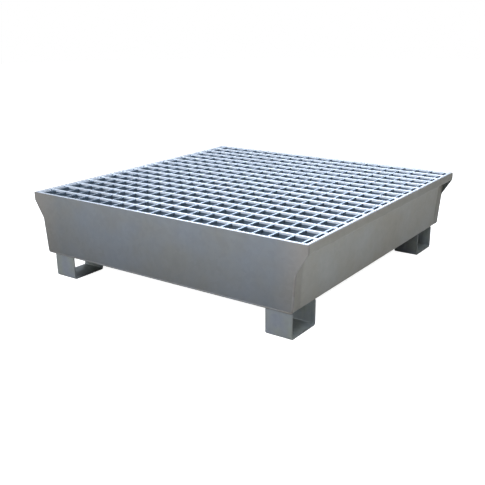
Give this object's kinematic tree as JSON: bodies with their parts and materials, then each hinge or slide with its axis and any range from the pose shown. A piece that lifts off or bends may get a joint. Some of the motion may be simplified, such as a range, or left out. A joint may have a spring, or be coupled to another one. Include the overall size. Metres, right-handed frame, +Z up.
{
  "type": "spill containment pallet",
  "caption": "Galvanised steel spill pallet: folded sump tray with stepped lips and eared end plates on strap feet, with a lift-out bar grating for drums.",
  "frame": {"origin": "on the floor, at the centre of the pallet's footprint", "axes": "+X to the pallet's right, +Y to its back, +Z up"},
  "size_m": [1.236, 1.23, 0.326],
  "materials": {
    "galvanised_sheet": "hot-dip galvanised sheet, dull, faint mottling",
    "galvanised_strap": "hot-dip galvanised flat strap, dull, streaked",
    "galvanised_section": "hot-dip galvanised angle and channel, dull",
    "galvanised_bar": "bright hot-dip galvanised flat bar"
  },
  "bodies": {
    "tray": {"tray_shell": "galvanised_sheet", "front_plate": "galvanised_sheet", "back_plate": "galvanised_sheet", "foot_front_left": "galvanised_strap", "foot_front_right": "galvanised_strap", "foot_back_left": "galvanised_strap", "foot_back_right": "galvanised_strap", "rest_angle_front": "galvanised_section", "rest_angle_back": "galvanised_section", "bearer_left": "galvanised_section", "bearer_right": "galvanised_section"},
    "grating": {"frame_bar_front": "galvanised_bar", "frame_bar_back": "galvanised_bar", "frame_bar_left": "galvanised_bar", "frame_bar_right": "galvanised_bar", "bearing_bar_01": "galvanised_bar", "bearing_bar_02": "galvanised_bar", "bearing_bar_03": "galvanised_bar", "bearing_bar_04": "galvanised_bar", "bearing_bar_05": "galvanised_bar", "bearing_bar_06": "galvanised_bar", "bearing_bar_07": "galvanised_bar", "bearing_bar_08": "galvanised_bar", "bearing_bar_09": "galvanised_bar", "bearing_bar_10": "galvanised_bar", "bearing_bar_11": "galvanised_bar", "bearing_bar_12": "galvanised_bar", "bearing_bar_13": "galvanised_bar", "bearing_bar_14": "galvanised_bar", "bearing_bar_15": "galvanised_bar", "bearing_bar_16": "galvanised_bar", "bearing_bar_17": "galvanised_bar", "cross_bar_01": "galvanised_bar", "cross_bar_02": "galvanised_bar", "cross_bar_03": "galvanised_bar", "cross_bar_04": "galvanised_bar", "cross_bar_05": "galvanised_bar", "cross_bar_06": "galvanised_bar", "cross_bar_07": "galvanised_bar", "cross_bar_08": "galvanised_bar", "cross_bar_09": "galvanised_bar", "cross_bar_10": "galvanised_bar", "cross_bar_11": "galvanised_bar", "cross_bar_12": "galvanised_bar", "cross_bar_13": "galvanised_bar", "cross_bar_14": "galvanised_bar", "cross_bar_15": "galvanised_bar", "cross_bar_16": "galvanised_bar", "cross_bar_17": "galvanised_bar", "cross_bar_18": "galvanised_bar", "cross_bar_19": "galvanised_bar", "cross_bar_20": "galvanised_bar"}
  },
  "joints": [
    {"name": "grating_lift", "type": "slide", "parent": "tray", "child": "grating", "axis": [0, 0, 1], "range_m": [0, 0.3]}
  ]
}
